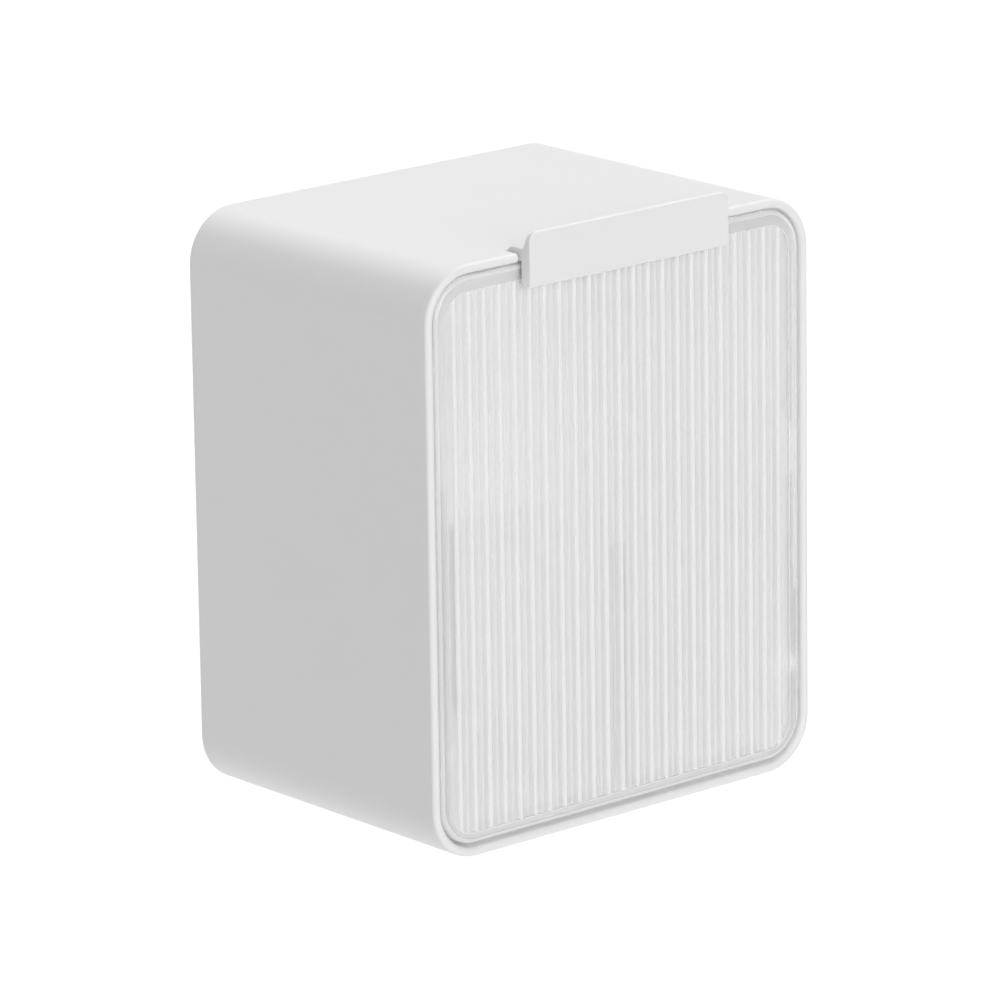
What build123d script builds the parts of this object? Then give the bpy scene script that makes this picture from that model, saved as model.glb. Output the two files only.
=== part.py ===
from build123d import *
from math import acos, cos, radians, sin
import os

# Wall-hung box for cotton swabs, in millimetres.
# The origin is the middle of the adhesive pad's face on the wall.
# +X is to the right seen from the front, +Y runs into the wall, +Z is up.

# How far a rib or boss reaches into the wall that carries it, and a cut past what it cuts
bedding = 0.8
overshoot = 2.0

# Shell
shell_width = 101.0
shell_height = 120.0
shell_depth = 73.2
wall = 1.9
corner_radius = 11.0
rim_round = 0.9
skirt_depth = 3.0
skirt_clearance = 0.3
skirt_round = 0.6
ledge_reach = 1.0
ledge_thickness = 1.2
ledge_foot = 37.0
closing_gap = 0.3

# Front panel
panel_gap = 0.4
panel_foot_gap = 0.7
panel_inset = 0.5
panel_thickness = 2.0
panel_edge_round = 0.8
field_border = 2.8
field_head_border = 3.3
field_foot_border = 2.3
field_corner_radius = 5.4
reed_count = 23
reed_pitch = 3.9
reed_width = 1.5
reed_height = 0.45
reed_inset = 0.1
tongue_thickness = 1.2
tongue_reach = 3.0
tongue_fit = 0.1
side_tongue_low = 30.0
side_tongue_length = 38.0
floor_tongue_length = 76.0

# Tilting bin
bin_side_gap = 3.0
bin_wall = 1.6
bin_depth = 58.0
bin_floor_gap = 1.5
bin_front_height = 75.0
bin_rear_height = 46.0
bin_top_arc = 75.0
bin_heel_radius = 8.0
bin_corner_radius = 5.0
bin_low_corner_radius = 7.0

# Pivot
pivot_height = 21.0
pivot_setback = 5.0
pivot_running_gap = 0.05
pin_radius = 1.2
pin_head_radius = 2.2
pin_head_thickness = 1.2
pin_head_gap = 0.3
pin_head_round = 0.45
pin_seat_skin = 1.0
boss_radius = 2.2
boss_gap = 0.4

# Stop that ends the tilt
tilt_open = 40.0
stop_arm = 46.0
stop_lug_radius = 1.5
stop_stand = 2.2
stop_rib_thickness = 2.0
stop_rib_length = 11.0
stop_rib_setback = 3.2
stop_gap = 0.4

# Divider and the grooves that hold it
divider_thickness = 1.2
divider_front_height = 60.0
divider_rear_height = 43.0
divider_top_arc = 75.0
divider_end_gap = 0.4
divider_floor_gap = 0.1
groove_clearance = 0.3
groove_rib_thickness = 1.0
groove_rib_reach = 2.2
groove_top_margin = 4.0

# Pull tab
tab_width = 52.6
tab_stand = 2.8
tab_rim_gap = 0.3
tab_rise = 4.5
tab_drop = 4.3
tab_tip_thickness = 1.1
tab_top_corner = 2.0
tab_low_corner = 0.8
tab_edge_round = 0.4
bridge_gap = 0.8
bridge_thickness = 2.5
bridge_ledge = 0.4
clip_leg_thickness = 1.0
clip_leg_drop = 3.6
clip_pad_height = 2.2
clip_pad_inset = 3.0
notch_clearance = 0.6

# Wall plate, its hooks and the pad
hang_height = 66.0
plate_width = 62.0
plate_height = 62.0
plate_thickness = 2.0
plate_corner_radius = 6.0
plate_edge_round = 0.5
pad_thickness = 1.0
pad_margin = 3.0
pad_corner_radius = 4.0
hook_spacing = 36.0
hook_width = 10.0
hook_neck_thickness = 3.0
hook_finger_thickness = 2.0
hook_finger_rise = 8.0
hook_lead_round = 0.8
hook_wall_gap = 0.3
hook_height = 78.0
lift_travel = 8.5
window_side_gap = 1.2
window_end_gap = 0.5

# Planes and heights in the part's own frame
rim_y = -(skirt_clearance + shell_depth)
skirt_y = -skirt_clearance
rear_wall_out_y = skirt_y - skirt_depth
rear_wall_in_y = rear_wall_out_y - wall
base_z = -hang_height
top_z = base_z + shell_height
inner_half_width = shell_width / 2 - wall

panel_front_y = rim_y + panel_inset
panel_rear_y = panel_front_y + panel_thickness
panel_half_width = inner_half_width - panel_gap
panel_bottom_z = base_z + wall + panel_foot_gap
panel_top_z = top_z - wall - panel_gap
field_floor_y = panel_front_y + reed_inset + reed_height

wing_out_x = inner_half_width - bin_side_gap
wing_in_x = wing_out_x - bin_wall
bin_rear_y = panel_rear_y + bin_depth
bin_rear_in_y = bin_rear_y - bin_wall
bin_under_z = base_z + wall + bin_floor_gap
bin_floor_z = bin_under_z + bin_wall
wing_front_z = base_z + bin_front_height
bin_rear_z = base_z + bin_rear_height

pivot_y = rim_y + pivot_setback
pivot_z = base_z + pivot_height
stop_rib_y = rim_y + stop_rib_setback

plate_rear_y = -pad_thickness
plate_front_y = plate_rear_y - plate_thickness
hook_z = base_z + hook_height


def along_y(sketch, near_y, far_y):
    # A sketch drawn in X and Z, solid between two planes across Y
    return extrude(Plane.XZ.offset(-far_y) * sketch, amount=far_y - near_y)


def across_x(sketch, low_x, high_x):
    # A sketch drawn in Y and Z, solid between two planes across X
    return extrude(Plane.YZ.offset(low_x) * sketch, amount=high_x - low_x)


def upwards(sketch, low_z, high_z):
    # A sketch drawn in X and Y, solid between two heights
    return extrude(Plane.XY.offset(low_z) * sketch, amount=high_z - low_z)


def block(low_x, high_x, low_y, high_y, low_z, high_z):
    size = (high_x - low_x, high_y - low_y, high_z - low_z)
    middle = ((low_x + high_x) / 2, (low_y + high_y) / 2, (low_z + high_z) / 2)
    return Pos(*middle) * Box(*size)


def rod(radius, low_x, high_x, y, z):
    # A round bar along X
    return across_x(Pos(y, z) * Circle(radius), low_x, high_x)


def rounded(width, low_z, high_z, radius):
    height = high_z - low_z
    return Pos(0, (low_z + high_z) / 2) * RectangleRounded(width, height, radius)


def mirrored(piece):
    return piece + mirror(piece, Plane.YZ)


def stop_lug_place():
    # Where the lug stands when closed, so that it meets the rib's rear face at full tilt
    reach = stop_rib_y + stop_rib_thickness + stop_gap + stop_lug_radius - pivot_y
    turned_back = acos(reach / stop_arm) - radians(tilt_open)
    return pivot_y + stop_arm * cos(turned_back), pivot_z + stop_arm * sin(turned_back)


def make_shell():
    inner_radius = corner_radius - wall
    inside = rounded(2 * inner_half_width, base_z + wall, top_z - wall, inner_radius)
    shell = along_y(rounded(shell_width, base_z, top_z, corner_radius), rim_y, skirt_y)
    shell -= along_y(inside, rim_y, rear_wall_in_y)
    shell -= along_y(inside, rear_wall_out_y, skirt_y)
    shell = fillet(shell.faces().sort_by(Axis.Y)[0].edges(), rim_round)
    shell = fillet(shell.faces().sort_by(Axis.Y)[-1].outer_wire().edges(), skirt_round)
    shell += mouth_ledge()
    shell -= tab_notch()
    shell += mirrored(pin_boss() + stop_rib())
    shell -= mirrored(pin_seat())
    shell -= mirrored(hang_window())
    return shell


def mouth_ledge():
    # A low ledge behind the panel's border, where the closing bin stops
    near_y = panel_rear_y + closing_gap
    far_y = near_y + ledge_thickness
    half = inner_half_width - ledge_reach
    high_z = top_z - wall - ledge_reach
    opening = rounded(2 * half, base_z, high_z, corner_radius - wall - ledge_reach)
    around = rounded(shell_width - wall, base_z, top_z - wall / 2, corner_radius - wall / 2)
    ring = along_y(around, near_y, far_y) - along_y(opening, near_y, far_y)
    return ring & block(-shell_width, shell_width, near_y, far_y, base_z + ledge_foot, top_z)


def tab_notch():
    # Cut in the top wall and its ledge for the clip that goes over the panel's edge
    half = tab_width / 2 + notch_clearance
    depth_y = panel_rear_y + clip_leg_thickness + notch_clearance
    low_z = top_z - wall - overshoot
    return block(-half, half, rim_y - overshoot, depth_y, low_z, top_z + overshoot)


def pin_boss():
    return rod(boss_radius, wing_out_x + boss_gap, inner_half_width + bedding, pivot_y, pivot_z)


def pin_seat():
    tip_x = shell_width / 2 - pin_seat_skin
    return rod(pin_radius, wing_out_x, tip_x, pivot_y, pivot_z)


def stop_rib():
    low_x = inner_half_width - stop_stand
    middle_z = pivot_z + stop_arm
    return block(
        low_x,
        inner_half_width + bedding,
        stop_rib_y,
        stop_rib_y + stop_rib_thickness,
        middle_z - stop_rib_length / 2,
        middle_z + stop_rib_length / 2,
    )


def hang_window():
    # The shell hangs by the window's upper edge and lifts until the finger clears it
    half = hook_width / 2 + window_side_gap
    low_z = hook_z - hook_neck_thickness - lift_travel - window_end_gap
    middle_x = hook_spacing / 2
    return block(
        middle_x - half,
        middle_x + half,
        rear_wall_in_y - overshoot,
        rear_wall_out_y + overshoot,
        low_z,
        hook_z,
    )


def reed_section(half_width):
    # One row of low round reeds standing on the floor of the recessed field
    root_y = field_floor_y + bedding
    edges = []
    reach = (reed_count - 1) / 2 * reed_pitch
    last = (-half_width, field_floor_y)
    for index in range(reed_count):
        middle = index * reed_pitch - reach
        foot = (middle - reed_width / 2, field_floor_y)
        crest = (middle, field_floor_y - reed_height)
        far_foot = (middle + reed_width / 2, field_floor_y)
        if reed_pitch > reed_width or index == 0:
            edges.append(Line(last, foot))
        edges.append(ThreePointArc(foot, crest, far_foot))
        last = far_foot
    end = (half_width, field_floor_y)
    edges.append(Line(last, end))
    edges.append(Line(end, (half_width, root_y)))
    edges.append(Line((half_width, root_y), (-half_width, root_y)))
    edges.append(Line((-half_width, root_y), (-half_width, field_floor_y)))
    return make_face(Curve() + edges)


def make_front_panel():
    radius = corner_radius - wall - panel_gap
    outline = rounded(2 * panel_half_width, panel_bottom_z, panel_top_z, radius)
    panel = along_y(outline, panel_front_y, panel_rear_y)
    panel = fillet(panel.faces().sort_by(Axis.Y)[0].edges(), panel_edge_round)
    field_half = panel_half_width - field_border
    low_z = panel_bottom_z + field_foot_border
    high_z = panel_top_z - field_head_border
    field = rounded(2 * field_half, low_z, high_z, field_corner_radius)
    panel -= along_y(field, panel_front_y - overshoot, field_floor_y)
    reeds = upwards(reed_section(field_half), low_z, high_z)
    reeds &= along_y(field, panel_front_y, panel_rear_y)
    panel += reeds
    panel += mirrored(side_tongue()) + floor_tongue()
    panel += mirrored(groove_rib(panel_rear_y, divider_front_height, 1))
    return panel


def side_tongue():
    # Stands just inside the bin's wing, above the pin's head
    high_x = wing_in_x - tongue_fit
    low_z = base_z + side_tongue_low
    rear_y = panel_rear_y + tongue_reach
    front_y = panel_rear_y - bedding
    return block(high_x - tongue_thickness, high_x, front_y, rear_y, low_z, low_z + side_tongue_length)


def floor_tongue():
    # Two lengths on the bin's floor, parted for the divider
    gap = divider_thickness / 2 + groove_clearance + groove_rib_thickness
    low_z = bin_floor_z + tongue_fit
    rear_y = panel_rear_y + tongue_reach
    front_y = panel_rear_y - bedding
    half = floor_tongue_length / 2
    return mirrored(block(gap, half, front_y, rear_y, low_z, low_z + tongue_thickness))


def groove_rib(face_y, divider_height, way):
    # A rib beside the divider's edge; way is 1 when it stands towards the wall
    low_x = divider_thickness / 2 + groove_clearance
    root_y = face_y - way * bedding
    tip_y = face_y + way * groove_rib_reach
    high_z = base_z + divider_height - groove_top_margin
    near_y, far_y = sorted((root_y, tip_y))
    low_z = bin_floor_z - bedding if way < 0 else bin_floor_z + tongue_fit
    return block(low_x, low_x + groove_rib_thickness, near_y, far_y, low_z, high_z)


def side_profile(front_y, rear_y, low_z, front_z, rear_z, heel, arc):
    # The bin's outline seen from the side: flat floor, round heel, arched top
    edges = [
        Line((front_y, front_z), (front_y, low_z)),
        Line((front_y, low_z), (rear_y - heel, low_z)),
        RadiusArc((rear_y - heel, low_z), (rear_y, low_z + heel), -heel),
        Line((rear_y, low_z + heel), (rear_y, rear_z)),
        RadiusArc((rear_y, rear_z), (front_y, front_z), -arc),
    ]
    return make_face(Curve() + edges)


def bin_plan(half_width, front_y, rear_y, radius):
    # The bin seen from above, round at its two rear corners
    edges = [
        Line((-half_width, front_y), (half_width, front_y)),
        Line((half_width, front_y), (half_width, rear_y - radius)),
        RadiusArc((half_width, rear_y - radius), (half_width - radius, rear_y), -radius),
        Line((half_width - radius, rear_y), (radius - half_width, rear_y)),
        RadiusArc((radius - half_width, rear_y), (-half_width, rear_y - radius), -radius),
        Line((-half_width, rear_y - radius), (-half_width, front_y)),
    ]
    return make_face(Curve() + edges)


def bin_front(half_width, low_z, radius):
    # The bin seen from the front, round at its two lower corners and open past the wings' tops
    return rounded(2 * half_width, low_z, wing_front_z + overshoot + 2 * radius, radius)


def make_tilt_bin():
    outline = side_profile(
        panel_rear_y, bin_rear_y, bin_under_z, wing_front_z, bin_rear_z, bin_heel_radius, bin_top_arc
    )
    tray = across_x(outline, -wing_out_x, wing_out_x)
    plan = bin_plan(wing_out_x, panel_rear_y, bin_rear_y, bin_corner_radius)
    tray &= upwards(plan, bin_under_z, wing_front_z + overshoot)
    front = bin_front(wing_out_x, bin_under_z, bin_low_corner_radius)
    tray &= along_y(front, panel_rear_y, bin_rear_y)
    # The hollow runs out past the top and the front
    hollow_top = wing_front_z + overshoot
    past_front = panel_rear_y - overshoot
    hollow = across_x(hollow_profile(past_front, hollow_top), -wing_in_x, wing_in_x)
    inner_plan = bin_plan(wing_in_x, past_front, bin_rear_in_y, bin_corner_radius - bin_wall)
    hollow &= upwards(inner_plan, bin_floor_z, hollow_top)
    inner_front = bin_front(wing_in_x, bin_floor_z, bin_low_corner_radius - bin_wall)
    hollow &= along_y(inner_front, past_front, bin_rear_in_y)
    tray -= hollow
    tray += mirrored(groove_rib(bin_rear_in_y, divider_rear_height, -1))
    tray += mirrored(stop_lug())
    tray -= mirrored(pin_hole())
    return tray


def hollow_profile(front_y, high_z):
    heel = bin_heel_radius - bin_wall
    edges = [
        Line((front_y, high_z), (front_y, bin_floor_z)),
        Line((front_y, bin_floor_z), (bin_rear_in_y - heel, bin_floor_z)),
        RadiusArc((bin_rear_in_y - heel, bin_floor_z), (bin_rear_in_y, bin_floor_z + heel), -heel),
        Line((bin_rear_in_y, bin_floor_z + heel), (bin_rear_in_y, high_z)),
        Line((bin_rear_in_y, high_z), (front_y, high_z)),
    ]
    return make_face(Curve() + edges)


def stop_lug():
    y, z = stop_lug_place()
    return rod(stop_lug_radius, wing_out_x - bedding, wing_out_x + stop_stand, y, z)


def pin_hole():
    radius = pin_radius + pivot_running_gap
    return rod(radius, wing_in_x - overshoot, wing_out_x + overshoot, pivot_y, pivot_z)


def make_divider():
    # Slides down between the ribs on the panel and on the bin's rear wall
    front_y = panel_rear_y + divider_end_gap
    rear_y = bin_rear_in_y - divider_end_gap
    low_z = bin_floor_z + divider_floor_gap
    front_z = base_z + divider_front_height
    rear_z = base_z + divider_rear_height
    heel = bin_heel_radius - bin_wall
    profile = side_profile(front_y, rear_y, low_z, front_z, rear_z, heel, divider_top_arc)
    return across_x(profile, -divider_thickness / 2, divider_thickness / 2)


def tab_section():
    # Front blade, bridge over the panel's edge and rear leg, as one hook
    blade_front = rim_y - tab_stand
    blade_rear = rim_y - tab_rim_gap
    blade_low = panel_top_z - tab_drop
    blade_top = top_z + tab_rise
    bridge_low = panel_top_z + bridge_gap
    bridge_top = bridge_low + bridge_thickness
    leg_front = panel_rear_y
    leg_rear = leg_front + clip_leg_thickness
    leg_low = panel_top_z - clip_leg_drop
    tip_rear = blade_front + tab_tip_thickness
    tip_round = tab_tip_thickness / 2
    tip_z = blade_top - tip_round
    ledge_front = blade_rear - bridge_ledge
    tip = ThreePointArc((blade_front, tip_z), (blade_front + tip_round, blade_top), (tip_rear, tip_z))
    edges = [
        Line((blade_front, blade_low), (blade_front, tip_z)),
        tip,
        RadiusArc((tip_rear, tip_z), (ledge_front, bridge_top), -tab_rise),
        Line((ledge_front, bridge_top), (leg_front, bridge_top)),
        Line((leg_front, bridge_top), (leg_rear, bridge_top - clip_leg_thickness / 2)),
        Line((leg_rear, bridge_top - clip_leg_thickness / 2), (leg_rear, leg_low)),
        Line((leg_rear, leg_low), (leg_front, leg_low)),
        Line((leg_front, leg_low), (leg_front, bridge_low)),
        Line((leg_front, bridge_low), (blade_rear, bridge_low)),
        Line((blade_rear, bridge_low), (blade_rear, blade_low)),
        Line((blade_rear, blade_low), (blade_front, blade_low)),
    ]
    return make_face(Curve() + edges)


def make_pull_tab():
    half = tab_width / 2
    tab = along_y(tab_outline(half), rim_y - tab_stand, panel_rear_y + clip_leg_thickness)
    tab = fillet(tab.faces().sort_by(Axis.Y)[0].edges(), tab_edge_round)
    tab &= across_x(tab_section(), -half, half)
    return tab + clip_pad(half)


def tab_outline(half):
    low_z = panel_top_z - tab_drop
    high_z = top_z + tab_rise
    sketch = Pos(0, (low_z + high_z) / 2) * Rectangle(2 * half, high_z - low_z)
    low = sketch.vertices().group_by(Axis.Y)[0]
    sketch = fillet(low, tab_low_corner)
    high = sketch.vertices().group_by(Axis.Y)[-1]
    return fillet(high, tab_top_corner)


def clip_pad(half):
    # Fills the space between blade and panel so that the clip grips
    front_y = rim_y - tab_rim_gap - bedding
    edge = half - clip_pad_inset
    return block(-edge, edge, front_y, panel_front_y, panel_top_z - clip_pad_height, panel_top_z)


def make_pivot_pin(side):
    head_x = wing_in_x - pin_head_gap
    tip_x = shell_width / 2 - pin_seat_skin
    head = rod(pin_head_radius, head_x - pin_head_thickness, head_x, pivot_y, pivot_z)
    head = fillet(head.faces().sort_by(Axis.X)[0].edges(), pin_head_round)
    pin = head + rod(pin_radius, head_x - bedding, tip_x, pivot_y, pivot_z)
    return pin if side > 0 else mirror(pin, Plane.YZ)


def make_wall_plate():
    low_z = -plate_height / 2
    outline = rounded(plate_width, low_z, low_z + plate_height, plate_corner_radius)
    plate = along_y(outline, plate_front_y, plate_rear_y)
    plate = fillet(plate.faces().sort_by(Axis.Y)[0].edges(), plate_edge_round)
    return plate + mirrored(hang_hook())


def hang_hook():
    # Neck through the window, finger upwards behind the shell's rear wall
    middle_x = hook_spacing / 2
    low_x = middle_x - hook_width / 2
    high_x = middle_x + hook_width / 2
    finger_rear = rear_wall_in_y - hook_wall_gap
    finger_front = finger_rear - hook_finger_thickness
    neck_low = hook_z - hook_neck_thickness
    neck = block(low_x, high_x, finger_front, plate_front_y + bedding, neck_low, hook_z)
    finger = block(low_x, high_x, finger_front, finger_rear, neck_low, hook_z + hook_finger_rise)
    lead_in = finger.edges().filter_by(Axis.X).group_by(Axis.Z)[-1]
    return neck + fillet(lead_in, hook_lead_round)


def make_adhesive_pad():
    width = plate_width - 2 * pad_margin
    half_height = plate_height / 2 - pad_margin
    outline = rounded(width, -half_height, half_height, pad_corner_radius)
    return along_y(outline, plate_rear_y, 0)


pieces = {
    "shell": make_shell(),
    "front_panel": make_front_panel(),
    "tilt_bin": make_tilt_bin(),
    "divider": make_divider(),
    "pull_tab": make_pull_tab(),
    "pivot_pin_left": make_pivot_pin(-1),
    "pivot_pin_right": make_pivot_pin(1),
    "wall_plate": make_wall_plate(),
    "adhesive_pad": make_adhesive_pad(),
}

os.makedirs("parts", exist_ok=True)
for name, piece in pieces.items():
    export_step(piece, f"parts/{name}.step")
    print(name, "volume", round(piece.volume, 1), "mm3")
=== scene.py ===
from math import cos, pi, radians, sin

import bmesh
import bpy
from mathutils import Matrix, Vector


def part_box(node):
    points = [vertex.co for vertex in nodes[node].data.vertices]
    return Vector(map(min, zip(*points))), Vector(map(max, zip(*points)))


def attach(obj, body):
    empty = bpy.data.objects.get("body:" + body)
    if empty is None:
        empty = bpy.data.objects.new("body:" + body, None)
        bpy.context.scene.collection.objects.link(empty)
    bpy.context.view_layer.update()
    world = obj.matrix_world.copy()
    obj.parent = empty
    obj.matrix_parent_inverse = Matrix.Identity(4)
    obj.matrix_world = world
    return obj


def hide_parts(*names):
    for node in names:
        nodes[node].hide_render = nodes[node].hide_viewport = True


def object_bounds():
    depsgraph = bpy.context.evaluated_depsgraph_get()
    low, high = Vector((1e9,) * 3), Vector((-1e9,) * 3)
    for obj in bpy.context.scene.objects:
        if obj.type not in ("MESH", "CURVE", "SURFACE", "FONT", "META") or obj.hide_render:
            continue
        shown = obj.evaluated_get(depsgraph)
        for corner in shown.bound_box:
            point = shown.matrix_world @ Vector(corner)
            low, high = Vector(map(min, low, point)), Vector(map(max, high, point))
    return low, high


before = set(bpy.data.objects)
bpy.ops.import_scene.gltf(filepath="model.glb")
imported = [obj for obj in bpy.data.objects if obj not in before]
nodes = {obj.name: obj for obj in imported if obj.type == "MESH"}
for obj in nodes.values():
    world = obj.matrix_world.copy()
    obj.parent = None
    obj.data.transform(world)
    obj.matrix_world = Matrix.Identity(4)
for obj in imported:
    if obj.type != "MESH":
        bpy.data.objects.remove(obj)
cadBox = [list(corner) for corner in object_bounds()]
mm = 0.001
print("frame loaded:", len(nodes), "nodes")


def linear(hexColour):
    # sRGB hex to the linear colour that shaders take
    parts = [int(hexColour[i : i + 2], 16) / 255 for i in (1, 3, 5)]
    return (*(c / 12.92 if c <= 0.04045 else ((c + 0.055) / 1.055) ** 2.4 for c in parts), 1.0)


def addNode(tree, kind, settings=None, links=None):
    # One node: settings go to inputs or attributes by name or number, links to inputs
    node = tree.nodes.new(kind)
    for name, value in (settings or {}).items():
        if isinstance(name, int) or name in node.inputs:
            node.inputs[name].default_value = value
        else:
            setattr(node, name, value)
    for name, source in (links or {}).items():
        tree.links.new(source, node.inputs[name])
    return node


def newMaterial(name):
    material = bpy.data.materials.new(name)
    material.use_nodes = True
    material.node_tree.nodes.clear()
    return material, material.node_tree


def dress(piece, material):
    piece.data.materials.clear()
    piece.data.materials.append(material)


def linked(name, data):
    piece = bpy.data.objects.new(name, data)
    bpy.context.scene.collection.objects.link(piece)
    return piece


# Materials

# White mouldings, with the spacing and depth of their spark grain in mm. The spacing is drawn
# about three times as coarse as it is, so that it shows.
moulded = {
    # ABS moulded in a spark-eroded tool: an even satin white that shows soft highlights on its rounds
    "shell": {"colour": "#F8F8F8", "roughness": 0.42, "grain": 0.55, "depth": 0.006},
    # ABS from a polished tool: the same white with a tighter highlight
    "tab": {"colour": "#F6F6F6", "roughness": 0.3, "grain": 0.9, "depth": 0.004},
    # ABS from a coarser tool, for a piece that hangs out of sight: greyer and flatter
    "plate": {"colour": "#ECECEA", "roughness": 0.48, "grain": 0.6, "depth": 0.008},
    # Nylon with the smooth skin of its mould: slightly warmer and waxy
    "pin": {"colour": "#F3F2EE", "roughness": 0.35, "grain": 0.4, "depth": 0.003},
    "grainDetail": 3.0,
    "grainStrength": 0.6,
    # Flow of the melt: a cloudy change of tone and gloss, far wider than the grain
    "cloud": 28.0,
    "cloudDetail": 2.0,
    "cloudTones": (0.985, 1.0),
    "cloudGloss": 0.03,
    "ior": 1.53,
}


def mouldedPlastic(name, kind):
    look = moulded[kind]
    material, tree = newMaterial(name)
    place = addNode(tree, "ShaderNodeTexCoord").outputs["Object"]
    cloud = addNode(
        tree,
        "ShaderNodeTexNoise",
        {"Scale": 1 / (moulded["cloud"] * mm), "Detail": moulded["cloudDetail"]},
        {"Vector": place},
    ).outputs["Fac"]
    darkest, palest = moulded["cloudTones"]
    tone = addNode(
        tree, "ShaderNodeMapRange", {"To Min": darkest, "To Max": palest}, {"Value": cloud}
    )
    tint = addNode(
        tree,
        "ShaderNodeMix",
        {"data_type": "RGBA", "blend_type": "MULTIPLY", 0: 1.0, 6: linear(look["colour"])},
        {7: tone.outputs["Result"]},
    )
    grain = addNode(
        tree,
        "ShaderNodeTexNoise",
        {"Scale": 1 / (look["grain"] * mm), "Detail": moulded["grainDetail"]},
        {"Vector": place},
    )
    bump = addNode(
        tree,
        "ShaderNodeBump",
        {"Strength": moulded["grainStrength"], "Distance": look["depth"] * mm},
        {"Height": grain.outputs["Fac"]},
    )
    smoothest = look["roughness"] - moulded["cloudGloss"]
    roughest = look["roughness"] + moulded["cloudGloss"]
    rough = addNode(
        tree, "ShaderNodeMapRange", {"To Min": smoothest, "To Max": roughest}, {"Value": cloud}
    )
    body = addNode(
        tree,
        "ShaderNodeBsdfPrincipled",
        {"IOR": moulded["ior"]},
        {
            "Base Color": tint.outputs[2],
            "Roughness": rough.outputs["Result"],
            "Normal": bump.outputs["Normal"],
        },
    )
    addNode(tree, "ShaderNodeOutputMaterial", None, {"Surface": body.outputs["BSDF"]})
    return material


# Clear polystyrene: "clarity" is the share that it lets through, the rest is milky, and "passes"
# is the share of a lamp's light that reaches what is behind it. The wave and its depth are in mm.
clear = {
    # From a polished tool: clear, with a faint waviness from cooling
    "border": {
        "colour": "#FDFDFD", "clarity": 0.68, "passes": 0.8,
        "roughness": 0.04, "wave": 9.0, "depth": 0.003,
    },
    # The sunk field between the reeds, satin from a finely blasted tool
    "field": {
        "colour": "#FDFDFD", "clarity": 0.52, "passes": 0.85,
        "roughness": 0.06, "wave": 9.0, "depth": 0.003,
    },
    # The crests of the reeds and the lip of the field: nearly milky white, a painted highlight that
    # makes them bright lines
    "paintedCrest": {
        "colour": "#FDFDFD", "clarity": 0.1, "passes": 0.85,
        "roughness": 0.12, "wave": 6.0, "depth": 0.002,
    },
    # The fine reeds and the outer round of the edges: half milky, a painted highlight that makes them
    # fainter bright lines
    "fine": {
        "colour": "#FDFDFD", "clarity": 0.35, "passes": 0.85,
        "roughness": 0.1, "wave": 6.0, "depth": 0.002,
    },
    # The bin, a thin milky moulding
    "bin": {
        "colour": "#FDFDFD", "clarity": 0.5, "passes": 0.85,
        "roughness": 0.05, "wave": 12.0, "depth": 0.010,
    },
    # The divider, a thin plate with a wider waviness
    "sheet": {
        "colour": "#FAFAFA", "clarity": 0.7, "passes": 0.85,
        "roughness": 0.06, "wave": 15.0, "depth": 0.008,
    },
    "waveDetail": 1.0,
    "waveStrength": 0.5,
    "ior": 1.57,
}


def clearPlastic(name, kind):
    look = clear[kind]
    material, tree = newMaterial(name)
    place = addNode(tree, "ShaderNodeTexCoord").outputs["Object"]
    wave = addNode(
        tree,
        "ShaderNodeTexNoise",
        {"Scale": 1 / (look["wave"] * mm), "Detail": clear["waveDetail"]},
        {"Vector": place},
    )
    bump = addNode(
        tree,
        "ShaderNodeBump",
        {"Strength": clear["waveStrength"], "Distance": look["depth"] * mm},
        {"Height": wave.outputs["Fac"]},
    )
    glass = addNode(
        tree,
        "ShaderNodeBsdfPrincipled",
        {
            "Base Color": linear(look["colour"]),
            "Roughness": look["roughness"],
            "IOR": clear["ior"],
            "Transmission Weight": look["clarity"],
        },
        {"Normal": bump.outputs["Normal"]},
    )
    # A shadow ray goes straight through, less what the plastic scatters and reflects
    left = (look["passes"], look["passes"], look["passes"], 1.0)
    through = addNode(tree, "ShaderNodeBsdfTransparent", {"Color": left})
    path = addNode(tree, "ShaderNodeLightPath")
    mixed = addNode(
        tree,
        "ShaderNodeMixShader",
        None,
        {0: path.outputs["Is Shadow Ray"], 1: glass.outputs["BSDF"], 2: through.outputs["BSDF"]},
    )
    addNode(tree, "ShaderNodeOutputMaterial", None, {"Surface": mixed.outputs["Shader"]})
    return material


# Closed-cell foam sliced from a block: cut cells all over its faces
foam = {
    "colour": "#E0E0DF",
    "cell": 0.7,
    "depth": 0.08,
    "cutStrength": 0.8,
    # A cell's middle is darker than its walls, painted shade in the hollow of the cut cell; the walls
    # start at this share of its size
    "wallAt": 0.8,
    "darkest": 0.78,
    "roughness": 0.85,
    "ior": 1.45,
}


def foamPad(name):
    material, tree = newMaterial(name)
    place = addNode(tree, "ShaderNodeTexCoord").outputs["Object"]
    cells = addNode(
        tree, "ShaderNodeTexVoronoi", {"Scale": 1 / (foam["cell"] * mm)}, {"Vector": place}
    ).outputs["Distance"]
    # Darker towards each cell's middle: painted shade in its hollow
    shade = addNode(
        tree,
        "ShaderNodeMapRange",
        {"From Max": foam["wallAt"], "To Min": foam["darkest"], "To Max": 1.0},
        {"Value": cells},
    )
    tint = addNode(
        tree,
        "ShaderNodeMix",
        {"data_type": "RGBA", "blend_type": "MULTIPLY", 0: 1.0, 6: linear(foam["colour"])},
        {7: shade.outputs["Result"]},
    )
    bump = addNode(
        tree,
        "ShaderNodeBump",
        {"Strength": foam["cutStrength"], "Distance": foam["depth"] * mm},
        {"Height": cells},
    )
    body = addNode(
        tree,
        "ShaderNodeBsdfPrincipled",
        {"Roughness": foam["roughness"], "IOR": foam["ior"]},
        {"Base Color": tint.outputs[2], "Normal": bump.outputs["Normal"]},
    )
    addNode(tree, "ShaderNodeOutputMaterial", None, {"Surface": body.outputs["BSDF"]})
    return material


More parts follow.
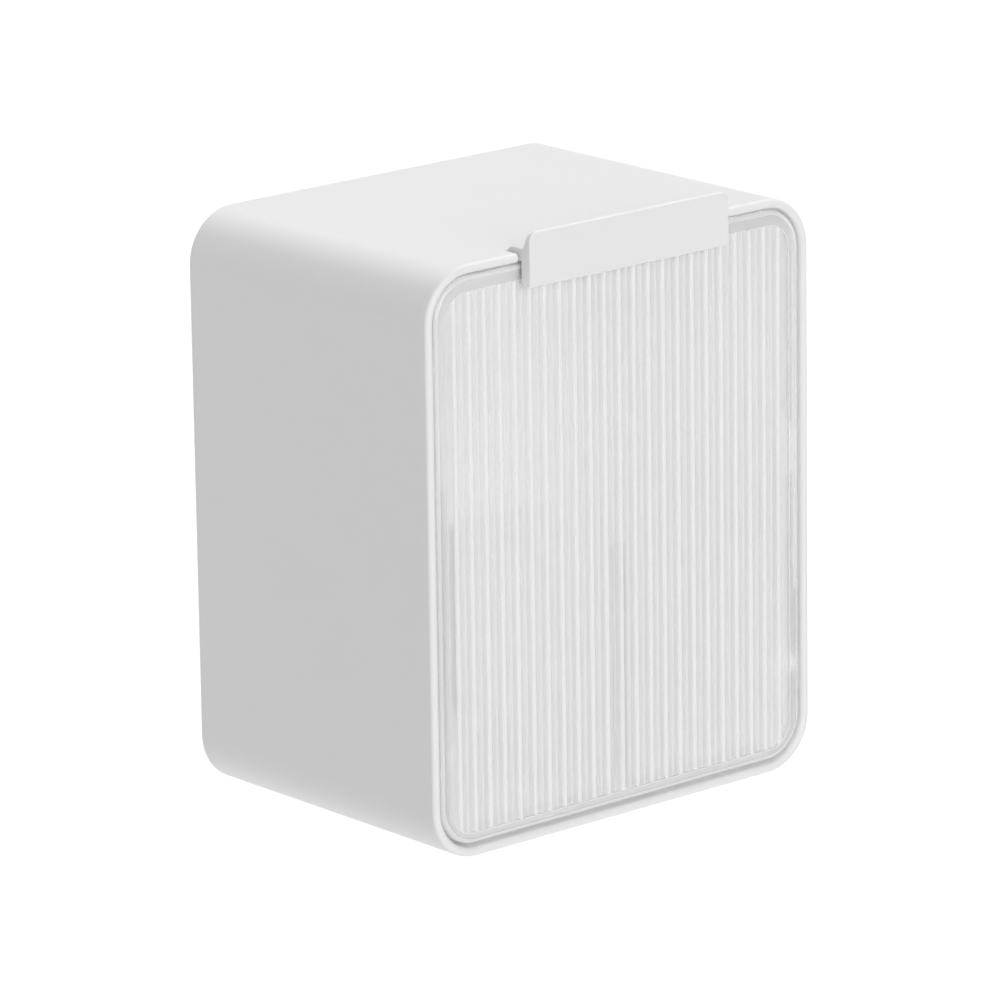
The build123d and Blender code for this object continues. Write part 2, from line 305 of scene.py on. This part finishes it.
shellAbs = mouldedPlastic("absMouldedSatin", "shell")
tabAbs = mouldedPlastic("absMouldedPolished", "tab")
plateAbs = mouldedPlastic("absMouldedPlate", "plate")
pinNylon = mouldedPlastic("nylonMoulded", "pin")
clearBorder = clearPlastic("polystyreneClearBorder", "border")
satinField = clearPlastic("polystyreneSatinField", "field")
# Near-white crests and field step: a painted highlight
crestHighlight = clearPlastic("polystyreneCrestPaintedHighlight", "paintedCrest")
# Half milky fine reeds and edge round: a painted highlight
fineHighlight = clearPlastic("polystyreneFinePaintedHighlight", "fine")
clearBin = clearPlastic("polystyreneClearBin", "bin")
clearSheet = clearPlastic("polystyreneClearSheet", "sheet")
padFoam = foamPad("foamClosedCell")

for name, material in {
    "shell": shellAbs,
    "pull_tab": tabAbs,
    "wall_plate": plateAbs,
    "pivot_pin_left": pinNylon,
    "pivot_pin_right": pinNylon,
    "tilt_bin": clearBin,
    "divider": clearSheet,
    "adhesive_pad": padFoam,
}.items():
    dress(nodes[name], material)
print("materials on the carried-over nodes")


# The clear front: a plate with a raised border round a sunk field of upright reeds

front = {
    "thickness": 2.0 * mm,
    "cornerRadius": 8.7 * mm,
    "edgeRound": 0.8 * mm,
    "backRound": 0.12 * mm,
    "border": 2.8 * mm,
    "headBorder": 3.3 * mm,
    "footBorder": 2.3 * mm,
    "fieldRadius": 5.4 * mm,
    "lipRound": 0.22 * mm,
    # The outer round, and the face this far in from it, take the half milky plastic: a painted
    # highlight line round the edge
    "highlightWidth": 0.15 * mm,
    "sink": 0.55 * mm,
    "cornerSteps": 16,
    "backSteps": 3,
    "edgeSteps": 6,
    "lipSteps": 4,
    # Creases sharper than this stay crisp in the shading
    "sharpAngle": 28.0,
    # A hair's breadth between the plate's back and the bin, so that no two faces share a plane
    "glueGap": 0.02 * mm,
    # Tongues that stand in the bin, and the ribs beside the divider
    "tongueThickness": 1.2 * mm,
    "tongueReach": 3.0 * mm,
    "tongueFit": 0.1 * mm,
    "tongueBedding": 0.5 * mm,
    "sideTongue": (30.0 * mm, 68.0 * mm),
    "floorTongue": (1.7 * mm, 38.0 * mm),
    "grooveRib": (0.9 * mm, 1.9 * mm),
    "grooveReach": 2.2 * mm,
    "grooveTop": 56.0 * mm,
    "barSegments": 2,
    "wingInside": 44.0 * mm,
    "floorTop": 5.0 * mm,
}
# High reeds, and a fine one in each space between two of them
reeds = {
    "pitch": 3.9 * mm,
    "high": {"count": 23, "width": 1.15 * mm, "height": 0.45 * mm},
    "fine": {"count": 22, "width": 0.8 * mm, "height": 0.15 * mm},
    "root": 0.5 * mm,
    "past": 0.6 * mm,
    "steps": 16,
    # Corners of one reed that are nearer than this are one corner
    "seam": 0.0001 * mm,
}


def quarterTurn(steps):
    # Angles from 0 to 90 degrees, both ends included
    return [radians(90 * k / steps) for k in range(steps + 1)]


def roundedRing(halfWidth, lowZ, highZ, radius, y, steps):
    # Points of a rounded rectangle in one plane across Y, counter-clockwise seen from the front
    ring = []
    for turn, (sideX, sideZ) in enumerate(((1, 1), (-1, 1), (-1, -1), (1, -1))):
        middleX = sideX * (halfWidth - radius)
        middleZ = highZ - radius if sideZ > 0 else lowZ + radius
        for step in range(steps + 1):
            angle = (turn + step / steps) * pi / 2
            ring.append(Vector((middleX + radius * cos(angle), y, middleZ + radius * sin(angle))))
    return ring


def stackRings(name, rings, finishes):
    # A closed mesh through rings of equal count: a finish for each band, and the last for the end faces
    mesh = bmesh.new()
    rows = [[mesh.verts.new(point) for point in ring] for ring in rings]
    count = len(rings[0])
    for low, high, finish in zip(rows, rows[1:], finishes):
        for k in range(count):
            corners = (low[k], low[(k + 1) % count], high[(k + 1) % count], high[k])
            mesh.faces.new(corners).material_index = finish
    for end in (rows[0][::-1], rows[-1]):
        mesh.faces.new(end).material_index = finishes[-1]
    bmesh.ops.recalc_face_normals(mesh, faces=mesh.faces)
    data = bpy.data.meshes.new(name)
    mesh.to_mesh(data)
    mesh.free()
    return data


def frontPlate():
    low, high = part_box("front_panel")
    frontY = low.y
    rearY = frontY + front["thickness"] - front["glueGap"]
    half = high.x
    steps = front["cornerSteps"]
    rings = []
    finishes = []
    clean, satin, stepHighlight, edgeHighlight = range(4)  # the plate's materials, in the order of its slots

    def outer(inset, y, finish=clean):
        radius = front["cornerRadius"] - inset
        rings.append(roundedRing(half - inset, low.z + inset, high.z - inset, radius, y, steps))
        finishes.append(finish)

    def inner(spread, y, finish=clean):
        inset = front["border"] - spread
        footZ = low.z + front["footBorder"] - spread
        headZ = high.z - front["headBorder"] + spread
        radius = front["fieldRadius"] + spread
        rings.append(roundedRing(half - inset, footZ, headZ, radius, y, steps))
        finishes.append(finish)

    inner(0.0, rearY)
    back = front["backRound"]
    for angle in quarterTurn(front["backSteps"]):
        outer(back * (1 - sin(angle)), rearY - back * (1 - cos(angle)))
    # The outer round and a thin band of face beside it: half milky, a painted highlight line
    edge = front["edgeRound"]
    for angle in quarterTurn(front["edgeSteps"]):
        finish = edgeHighlight if angle > 0 else clean
        outer(edge * (1 - cos(angle)), frontY + edge * (1 - sin(angle)), finish)
    outer(edge + front["highlightWidth"], frontY, edgeHighlight)
    # The lip's round: half milky, the same painted highlight as the edge
    lip = front["lipRound"]
    for angle in quarterTurn(front["lipSteps"]):
        finish = edgeHighlight if angle > 0 else clean
        inner(lip * (1 - sin(angle)), frontY + lip * (1 - cos(angle)), finish)
    # The step down to the field: near-white, a painted highlight
    inner(0.0, frontY + front["sink"], stepHighlight)
    # A band's finish is kept with the ring that ends it, so the first ring's is left out
    plate = linked("frontPlate", stackRings("frontPlate", rings, finishes[1:] + [satin]))
    for material in (clearBorder, satinField, crestHighlight, fineHighlight):
        plate.data.materials.append(material)
    return plate


def reedTree():
    # One reed from a flat grid: raised, arched across its width, closed below, then repeated sideways
    tree = bpy.data.node_groups.new("reedRow", "GeometryNodeTree")
    tree.is_modifier = True
    inputs = {
        "Geometry": "Geometry",
        "Count": "Int",
        "Pitch": "Float",
        "Width": "Float",
        "Height": "Float",
        "Root": "Float",
        "Length": "Float",
        "Steps": "Int",
        "Material": "Material",
    }
    for name, kind in inputs.items():
        tree.interface.new_socket(name=name, in_out="INPUT", socket_type="NodeSocket" + kind)
    tree.interface.new_socket(name="Geometry", in_out="OUTPUT", socket_type="NodeSocketGeometry")
    given = addNode(tree, "NodeGroupInput").outputs
    columns = addNode(tree, "ShaderNodeMath", {"operation": "ADD", 1: 1.0}, {0: given["Steps"]})
    flat = addNode(
        tree,
        "GeometryNodeMeshGrid",
        {"Vertices Y": 2},
        {"Size X": given["Width"], "Size Y": given["Length"], "Vertices X": columns.outputs[0]},
    ).outputs["Mesh"]
    raised = addNode(
        tree,
        "GeometryNodeExtrudeMesh",
        {"mode": "FACES", "Individual": False},
        {"Mesh": flat, "Offset Scale": given["Root"]},
    )
    position = addNode(tree, "GeometryNodeInputPosition").outputs[0]
    across = addNode(tree, "ShaderNodeSeparateXYZ", None, {0: position}).outputs["X"]
    add = {"operation": "ADD"}
    subtract = {"operation": "SUBTRACT"}
    multiply = {"operation": "MULTIPLY"}
    divide = {"operation": "DIVIDE"}
    root = {"operation": "SQRT"}
    # Radius of the arch from its width and height: (half width squared / height + height) / 2
    halfWidth = addNode(tree, "ShaderNodeMath", {**multiply, 1: 0.5}, {0: given["Width"]}).outputs[0]
    halfSquare = addNode(tree, "ShaderNodeMath", multiply, {0: halfWidth, 1: halfWidth}).outputs[0]
    ratio = addNode(tree, "ShaderNodeMath", divide, {0: halfSquare, 1: given["Height"]}).outputs[0]
    twice = addNode(tree, "ShaderNodeMath", add, {0: ratio, 1: given["Height"]}).outputs[0]
    radius = addNode(tree, "ShaderNodeMath", {**multiply, 1: 0.5}, {0: twice}).outputs[0]
    # Height of the arch at each place across the reed
    radiusSquare = addNode(tree, "ShaderNodeMath", multiply, {0: radius, 1: radius}).outputs[0]
    xSquare = addNode(tree, "ShaderNodeMath", multiply, {0: across, 1: across}).outputs[0]
    left = addNode(tree, "ShaderNodeMath", subtract, {0: radiusSquare, 1: xSquare}).outputs[0]
    rise = addNode(tree, "ShaderNodeMath", root, {0: left}).outputs[0]
    fall = addNode(tree, "ShaderNodeMath", subtract, {0: radius, 1: given["Height"]}).outputs[0]
    arch = addNode(tree, "ShaderNodeMath", subtract, {0: rise, 1: fall}).outputs[0]
    lift = addNode(tree, "ShaderNodeCombineXYZ", None, {"Z": arch})
    arched = addNode(
        tree,
        "GeometryNodeSetPosition",
        None,
        {
            "Geometry": raised.outputs["Mesh"],
            "Selection": raised.outputs["Top"],
            "Offset": lift.outputs[0],
        },
    )
    below = addNode(tree, "GeometryNodeFlipFaces", None, {"Mesh": flat})
    closed = addNode(tree, "GeometryNodeJoinGeometry")
    tree.links.new(arched.outputs["Geometry"], closed.inputs[0])
    tree.links.new(below.outputs["Mesh"], closed.inputs[0])
    reed = addNode(
        tree,
        "GeometryNodeMergeByDistance",
        {"Distance": reeds["seam"]},
        {"Geometry": closed.outputs["Geometry"]},
    )
    # A row of places, centred
    gaps = addNode(tree, "ShaderNodeMath", {**subtract, 1: 1.0}, {0: given["Count"]}).outputs[0]
    span = addNode(tree, "ShaderNodeMath", multiply, {0: gaps, 1: given["Pitch"]}).outputs[0]
    start = addNode(tree, "ShaderNodeMath", {**multiply, 1: -0.5}, {0: span}).outputs[0]
    places = addNode(
        tree,
        "GeometryNodeMeshLine",
        {"mode": "OFFSET"},
        {
            "Count": given["Count"],
            "Start Location": addNode(tree, "ShaderNodeCombineXYZ", None, {"X": start}).outputs[0],
            "Offset": addNode(tree, "ShaderNodeCombineXYZ", None, {"X": given["Pitch"]}).outputs[0],
        },
    )
    row = addNode(
        tree,
        "GeometryNodeInstanceOnPoints",
        None,
        {"Points": places.outputs["Mesh"], "Instance": reed.outputs["Geometry"]},
    )
    real = addNode(tree, "GeometryNodeRealizeInstances", None, {"Geometry": row.outputs["Instances"]})
    dressed = addNode(
        tree,
        "GeometryNodeSetMaterial",
        None,
        {"Geometry": real.outputs["Geometry"], "Material": given["Material"]},
    )
    addNode(tree, "NodeGroupOutput", None, {0: dressed.outputs["Geometry"]})
    return tree


def fromTree(name, tree, values):
    # The tree's result as a plain mesh
    holder = linked(name, bpy.data.meshes.new(name))
    modifier = holder.modifiers.new(name, "NODES")
    modifier.node_group = tree
    for item in tree.interface.items_tree:
        if item.in_out == "INPUT" and item.name in values:
            modifier[item.identifier] = values[item.name]
    bpy.context.view_layer.update()
    evaluated = holder.evaluated_get(bpy.context.evaluated_depsgraph_get())
    result = bpy.data.meshes.new_from_object(evaluated)
    bpy.data.objects.remove(holder)
    result.name = name
    return result


def reedRow(kind, material):
    size = reeds[kind]
    low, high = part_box("front_panel")
    footZ = low.z + front["footBorder"] - reeds["past"]
    headZ = high.z - front["headBorder"] + reeds["past"]
    values = {
        "Count": size["count"],
        "Pitch": reeds["pitch"],
        "Width": size["width"],
        "Height": size["height"],
        "Root": reeds["root"],
        "Length": headZ - footZ,
        "Steps": reeds["steps"],
        "Material": material,
    }
    row = linked(kind + "Reeds", fromTree(kind + "Reeds", reedTree(), values))
    floorY = low.y + front["sink"] + reeds["root"]
    middleZ = (footZ + headZ) / 2
    # The tree works lying down: its length turns upright and its height to the front
    row.data.transform(Matrix.Translation((0, floorY, middleZ)) @ Matrix.Rotation(pi / 2, 4, "X"))
    return row


def softBlock(name, low, high, soft, segments):
    # A block between two corners with its edges rounded off
    mesh = bmesh.new()
    bmesh.ops.create_cube(mesh, size=1.0)
    for vert in mesh.verts:
        vert.co = [low[k] if vert.co[k] < 0 else high[k] for k in range(3)]
    bmesh.ops.bevel(
        mesh, geom=mesh.edges[:], offset=soft, segments=segments, profile=0.5, affect="EDGES"
    )
    data = bpy.data.meshes.new(name)
    mesh.to_mesh(data)
    mesh.free()
    return linked(name, data)


def rearBars():
    # Tongues and groove ribs behind the plate, on both sides of the middle
    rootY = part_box("front_panel")[0].y + front["thickness"] - front["tongueBedding"]
    faceY = rootY + front["tongueBedding"]
    tongueY = faceY + front["tongueReach"]
    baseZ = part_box("shell")[0].z
    footZ = baseZ + front["floorTop"] + front["tongueFit"]
    wingX = front["wingInside"] - front["tongueFit"]
    sideLow, sideHigh = front["sideTongue"]
    thick = front["tongueThickness"]
    spans = [
        ((wingX - thick, wingX), tongueY, (baseZ + sideLow, baseZ + sideHigh)),
        (front["floorTongue"], tongueY, (footZ, footZ + thick)),
        (front["grooveRib"], faceY + front["grooveReach"], (footZ, baseZ + front["grooveTop"])),
    ]
    bars = []
    for (nearX, farX), rearY, (lowZ, highZ) in spans:
        for side in (-1, 1):
            lowX, highX = sorted((side * nearX, side * farX))
            low, high = (lowX, rootY, lowZ), (highX, rearY, highZ)
            bar = softBlock("rearBar", low, high, front["backRound"], front["barSegments"])
            bars.append(bar)
    return bars


def united(base, others):
    # One closed skin from pieces that overlap
    for other in others:
        modifier = base.modifiers.new("join", "BOOLEAN")
        modifier.operation = "UNION"
        modifier.solver = "EXACT"
        modifier.material_mode = "TRANSFER"
        modifier.object = other
        bpy.context.view_layer.update()
        evaluated = base.evaluated_get(bpy.context.evaluated_depsgraph_get())
        result = bpy.data.meshes.new_from_object(evaluated)
        base.modifiers.clear()
        base.data = result
        bpy.data.objects.remove(other)
    return base


def smoothed(piece, sharpAngle):
    # Soft shading over the rounds, creases kept, flat faces kept flat
    for face in piece.data.polygons:
        face.use_smooth = True
    piece.data.set_sharp_from_angle(angle=radians(sharpAngle))
    modifier = piece.modifiers.new("evenNormals", "WEIGHTED_NORMAL")
    modifier.keep_sharp = True
    evaluated = piece.evaluated_get(bpy.context.evaluated_depsgraph_get())
    result = bpy.data.meshes.new_from_object(evaluated)
    piece.modifiers.clear()
    piece.data = result


def makeFront():
    bars = rearBars()
    for bar in bars:
        dress(bar, clearBorder)
    # The high reeds take the near-white plastic and the fine ones the half milky one: painted
    # highlights
    rows = [reedRow("high", crestHighlight), reedRow("fine", fineHighlight)]
    plate = united(frontPlate(), bars + rows)
    smoothed(plate, front["sharpAngle"])
    plate.name = "reededFront"
    plate.data.name = "reededFront"
    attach(plate, "bin")
    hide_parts("front_panel")
    return plate


reededFront = makeFront()
print("reeded front made:", len(reededFront.data.polygons), "faces")


# Floor, room, lamps and camera


def seenDirectly(tree):
    # 1 where the camera sees a thing straight, in a reflection or through clear plastic
    path = addNode(tree, "ShaderNodeLightPath")
    straight = path.outputs["Is Camera Ray"]
    most = {"operation": "MAXIMUM"}
    for output in ("Is Glossy Ray", "Is Transmission Ray"):
        links = {0: straight, 1: path.outputs[output]}
        straight = addNode(tree, "ShaderNodeMath", most, links).outputs[0]
    # Only before the first diffuse bounce, so that the inside isn't lit more than the outside
    fewer = {"operation": "LESS_THAN", 1: 0.5}
    early = addNode(tree, "ShaderNodeMath", fewer, {0: path.outputs["Diffuse Depth"]}).outputs[0]
    both = {"operation": "MULTIPLY"}
    return addNode(tree, "ShaderNodeMath", both, {0: straight, 1: early}).outputs[0]


# A white floor, so far down that a view from under the box isn't blocked. "glow" is the light
# of its own that brings it to plain white where it is seen.
ground = {"colour": "#EDEDED", "drop": 1600 * mm, "half": 16.0, "glow": 0.42}


def makeFloor():
    base = cadBox[0][2] - ground["drop"]
    half = ground["half"]
    mesh = bpy.data.meshes.new("floor")
    corners = [(-half, -half, base), (half, -half, base), (half, half, base), (-half, half, base)]
    mesh.from_pydata(corners, [], [(0, 1, 2, 3)])
    floor = linked("floor", mesh)
    material, tree = newMaterial("floorPainted")
    paint = addNode(tree, "ShaderNodeBsdfDiffuse", {"Color": linear(ground["colour"])})
    times = {"operation": "MULTIPLY", 1: ground["glow"]}
    amount = addNode(tree, "ShaderNodeMath", times, {0: seenDirectly(tree)})
    glow = addNode(
        tree, "ShaderNodeEmission", {"Color": (1, 1, 1, 1)}, {"Strength": amount.outputs[0]}
    )
    both = addNode(tree, "ShaderNodeAddShader", None, {0: paint.outputs[0], 1: glow.outputs[0]})
    addNode(tree, "ShaderNodeOutputMaterial", None, {"Surface": both.outputs[0]})
    dress(floor, material)


# A room that looks white but gives little light of its own
room = {"seen": 1.0, "light": 0.15}


def makeRoom():
    world = bpy.data.worlds.new("room")
    bpy.context.scene.world = world
    world.use_nodes = True
    tree = world.node_tree
    tree.nodes.clear()
    strength = addNode(
        tree,
        "ShaderNodeMapRange",
        {"To Min": room["light"], "To Max": room["seen"]},
        {"Value": seenDirectly(tree)},
    )
    sky = addNode(
        tree,
        "ShaderNodeBackground",
        {"Color": (1, 1, 1, 1)},
        {"Strength": strength.outputs["Result"]},
    )
    addNode(tree, "ShaderNodeOutputWorld", None, {"Surface": sky.outputs[0]})


# Five soft lamps at a plain level, placed by fromDirection and in degrees
lamps = {
    "front": {"azimuth": -8.0, "elevation": 10.0, "strength": 1.53, "softness": 50.0},
    "top": {"azimuth": 0.0, "elevation": 84.0, "strength": 0.66, "softness": 40.0},
    "right": {"azimuth": 105.0, "elevation": 48.0, "strength": 0.8, "softness": 22.0},
    "back": {"azimuth": 168.0, "elevation": 42.0, "strength": 0.6, "softness": 50.0},
    "left": {"azimuth": -75.0, "elevation": 5.0, "strength": 0.37, "softness": 40.0},
}


def fromDirection(azimuth, elevation):
    # Unit vector towards a place round the object; azimuth 0 is straight in front
    a, e = radians(azimuth), radians(elevation)
    return Vector((sin(a) * cos(e), -cos(a) * cos(e), sin(e)))


def makeLamp(name, look):
    data = bpy.data.lights.new(name, "SUN")
    data.energy = look["strength"]
    data.angle = radians(look["softness"])
    lamp = linked(name, data)
    towards = fromDirection(look["azimuth"], look["elevation"])
    lamp.location = towards
    lamp.rotation_mode = "QUATERNION"
    lamp.rotation_quaternion = towards.to_track_quat("Z", "Y")


# The view of the photograph, fitted to the corners of the shell
camera = {
    "azimuth": -40.82,
    "elevation": 15.36,
    "roll": -0.82,
    "distance": 1399.0 * mm,
    "target": Vector((-32.3, -73.5, 5.4)) * mm,
    "focalPixels": 7164.0,
    "photoPixels": 1001,
    "sensor": 36.0,
    "nearest": 50 * mm,
    "farthest": 50.0,
}
# Enough bounces for light that goes through the front, the bin and the divider and back
bounces = {
    "transparent_max_bounces": 24,
    "diffuse_bounces": 8,
    "transmission_bounces": 16,
    "max_bounces": 20,
}


def makeCamera():
    data = bpy.data.cameras.new("camera")
    view = linked("camera", data)
    data.sensor_width = camera["sensor"]
    data.lens = camera["focalPixels"] * camera["sensor"] / camera["photoPixels"]
    data.clip_start = camera["nearest"]
    data.clip_end = camera["farthest"]
    back = fromDirection(camera["azimuth"], camera["elevation"])
    right = (-back).cross(Vector((0, 0, 1))).normalized()
    up = right.cross(-back)
    turn = radians(camera["roll"])
    turnedRight = right * cos(turn) + up * sin(turn)
    turnedUp = up * cos(turn) - right * sin(turn)
    facing = Matrix((turnedRight, turnedUp, back)).transposed().to_4x4()
    place = camera["target"] + back * camera["distance"]
    view.matrix_world = Matrix.Translation(place) @ facing
    bpy.context.scene.camera = view


makeFloor()
makeRoom()
for name, look in lamps.items():
    makeLamp(name, look)
makeCamera()
scene = bpy.context.scene
scene.view_settings.view_transform = "Standard"
for name, count in bounces.items():
    setattr(scene.cycles, name, count)
print("floor, room, lamps and camera made")

bpy.context.view_layer.update()
